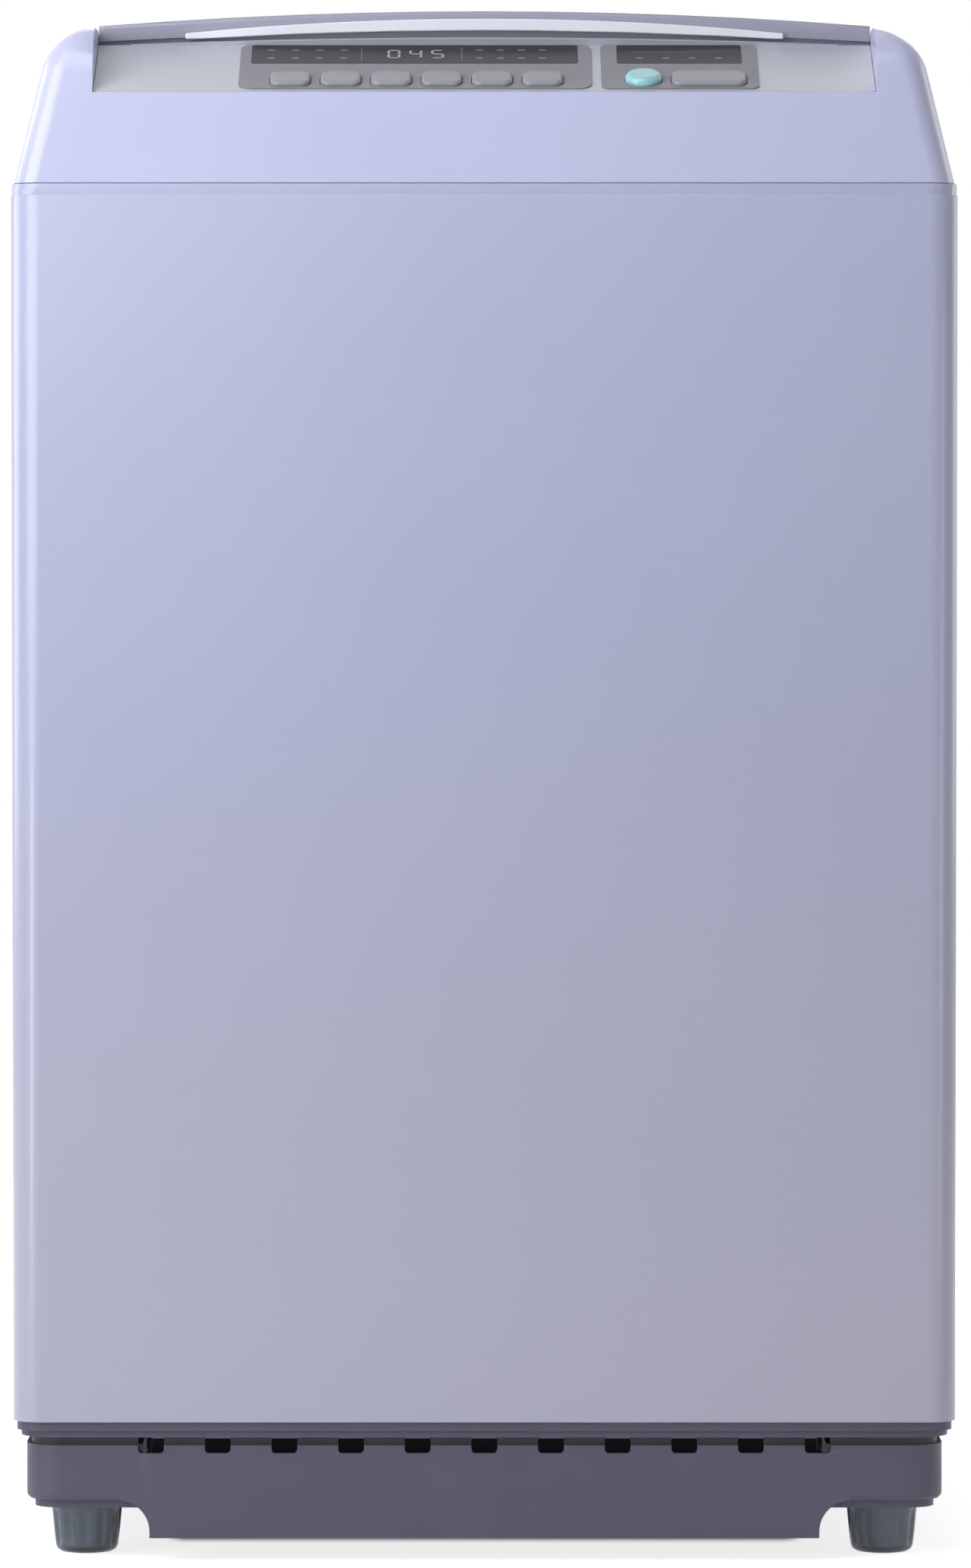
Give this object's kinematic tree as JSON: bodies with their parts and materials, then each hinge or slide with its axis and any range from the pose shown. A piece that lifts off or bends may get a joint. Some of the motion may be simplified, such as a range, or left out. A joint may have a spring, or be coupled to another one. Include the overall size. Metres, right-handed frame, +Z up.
{
  "type": "top load washing machine",
  "caption": "Free-standing top load washing machine with a crowned lid, sloped front control panel, suspended tub, stainless basket, pulsator and belt drive.",
  "frame": {"origin": "on the floor, at the centre of the footprint, under the tub axis", "axes": "+Z up, the front and its control panel face -Y, +X to the right of someone facing the front"},
  "size_m": [0.58, 0.6, 0.9564],
  "materials": {
    "painted_steel": "satin painted steel sheet",
    "cover_plastic": "glossy moulded plastic",
    "grip_trim": "bright trim strip",
    "base_plastic": "dark moulded plastic",
    "foot_rubber": "moulded rubber",
    "zinc_steel": "zinc plated steel",
    "shaft_steel": "ground steel",
    "fascia_silver": "silver painted plastic",
    "keypad_grey": "grey keypad plastic",
    "window_dark": "dark tinted window",
    "start_turquoise": "turquoise key",
    "box_black": "black moulded plastic",
    "board_green": "lacquered circuit board",
    "white_plastic": "white moulded plastic",
    "pulsator_plastic": "pale moulded plastic",
    "grey_plastic": "grey moulded plastic",
    "stainless": "stainless sheet",
    "cast_aluminium": "die cast",
    "belt_rubber": "belt rubber",
    "capacitor_can": "drawn can"
  },
  "bodies": {
    "cabinet": {"cabinet_shell": "painted_steel", "rear_panel": "painted_steel", "rear_screws": "zinc_steel", "base_frame": "base_plastic", "foot_front_left": "foot_rubber", "foot_rear_left": "foot_rubber", "foot_rear_right": "foot_rubber", "corner_brackets": "zinc_steel", "suspension_rods": "zinc_steel", "suspension_springs": "zinc_steel", "top_cover": "cover_plastic", "control_fascia": "fascia_silver", "keypad_plate": "keypad_grey", "power_plate": "keypad_grey", "display_window": "window_dark", "status_window": "window_dark", "control_box": "box_black", "control_board": "board_green", "drawer_housing": "white_plastic", "inlet_valve": "white_plastic", "level_sensor": "box_black", "lid_switch": "box_black", "run_capacitor": "capacitor_can", "cable_gland": "box_black", "drain_outlet": "grey_plastic"},
    "levelling_foot": {"levelling_foot": "foot_rubber", "levelling_stud": "zinc_steel"},
    "lid": {"lid": "cover_plastic", "lid_grip": "grip_trim", "lid_hinge_pins": "zinc_steel", "lid_bumpers": "foot_rubber"},
    "drawer": {"detergent_drawer": "white_plastic"},
    "tub": {"outer_tub": "white_plastic", "tub_cover": "white_plastic", "drive_plate": "zinc_steel", "clutch_housing": "cast_aluminium", "motor": "cast_aluminium", "drain_valve": "grey_plastic", "drain_hose": "grey_plastic", "damper_cups": "box_black", "drive_belt": "belt_rubber"},
    "basket": {"basket_wall": "stainless", "basket_base": "white_plastic", "balance_ring": "white_plastic", "lint_filters": "white_plastic", "spin_shaft": "shaft_steel"},
    "pulsator": {"pulsator": "pulsator_plastic", "pulsator_cap": "pulsator_plastic", "wash_shaft": "shaft_steel", "drive_pulley": "grey_plastic"},
    "motor_rotor": {"motor_shaft": "shaft_steel", "motor_pulley": "cast_aluminium"},
    "programme_key_1": {"programme_key_1": "keypad_grey"},
    "programme_key_2": {"programme_key_2": "keypad_grey"},
    "programme_key_3": {"programme_key_3": "keypad_grey"},
    "programme_key_4": {"programme_key_4": "keypad_grey"},
    "programme_key_5": {"programme_key_5": "keypad_grey"},
    "programme_key_6": {"programme_key_6": "keypad_grey"},
    "start_key": {"start_key": "start_turquoise"},
    "power_key": {"power_key": "keypad_grey"}
  },
  "joints": [
    {"name": "lid_hinge", "type": "hinge", "parent": "cabinet", "child": "lid", "pos_m": [0, 0.256, 0.938], "axis": [-1, 0, 0], "range_deg": [0, 100]},
    {"name": "drawer_slide", "type": "slide", "parent": "cabinet", "child": "drawer", "axis": [0, -1, 0], "range_m": [0, 0.07]},
    {"name": "levelling_foot_slide", "type": "slide", "parent": "cabinet", "child": "levelling_foot", "axis": [0, 0, -1], "range_m": [0, 0.012]},
    {"name": "tub_bounce", "type": "slide", "parent": "cabinet", "child": "tub", "axis": [0, 0, 1], "range_m": [-0.02, 0.01], "stiffness_N_per_m": 20000, "springref_m": 0.0135, "deforming": ["suspension_springs"]},
    {"name": "basket_spin", "type": "hinge", "parent": "tub", "child": "basket", "pos_m": [0, 0, 0.4], "axis": [0, 0, 1], "continuous": true},
    {"name": "pulsator_spin", "type": "hinge", "parent": "tub", "child": "pulsator", "pos_m": [0, 0, 0.25], "axis": [0, 0, 1], "continuous": true},
    {"name": "motor_spin", "type": "hinge", "parent": "tub", "child": "motor_rotor", "pos_m": [0, -0.165, 0.12], "axis": [0, 0, 1], "continuous": true},
    {"name": "programme_key_1_press", "type": "slide", "parent": "cabinet", "child": "programme_key_1", "axis": [0, 0.4035, -0.915], "range_m": [0, 0.0008], "stiffness_N_per_m": 1200},
    {"name": "programme_key_2_press", "type": "slide", "parent": "cabinet", "child": "programme_key_2", "axis": [0, 0.4035, -0.915], "range_m": [0, 0.0008], "stiffness_N_per_m": 1200},
    {"name": "programme_key_3_press", "type": "slide", "parent": "cabinet", "child": "programme_key_3", "axis": [0, 0.4035, -0.915], "range_m": [0, 0.0008], "stiffness_N_per_m": 1200},
    {"name": "programme_key_4_press", "type": "slide", "parent": "cabinet", "child": "programme_key_4", "axis": [0, 0.4035, -0.915], "range_m": [0, 0.0008], "stiffness_N_per_m": 1200},
    {"name": "programme_key_5_press", "type": "slide", "parent": "cabinet", "child": "programme_key_5", "axis": [0, 0.4035, -0.915], "range_m": [0, 0.0008], "stiffness_N_per_m": 1200},
    {"name": "programme_key_6_press", "type": "slide", "parent": "cabinet", "child": "programme_key_6", "axis": [0, 0.4035, -0.915], "range_m": [0, 0.0008], "stiffness_N_per_m": 1200},
    {"name": "start_key_press", "type": "slide", "parent": "cabinet", "child": "start_key", "axis": [0, 0.4035, -0.915], "range_m": [0, 0.0008], "stiffness_N_per_m": 1200},
    {"name": "power_key_press", "type": "slide", "parent": "cabinet", "child": "power_key", "axis": [0, 0.4035, -0.915], "range_m": [0, 0.0008], "stiffness_N_per_m": 1200}
  ],
  "couplings": [
    {"joint": "motor_spin", "follows": "pulsator_spin", "ratio": 3.2143}
  ]
}
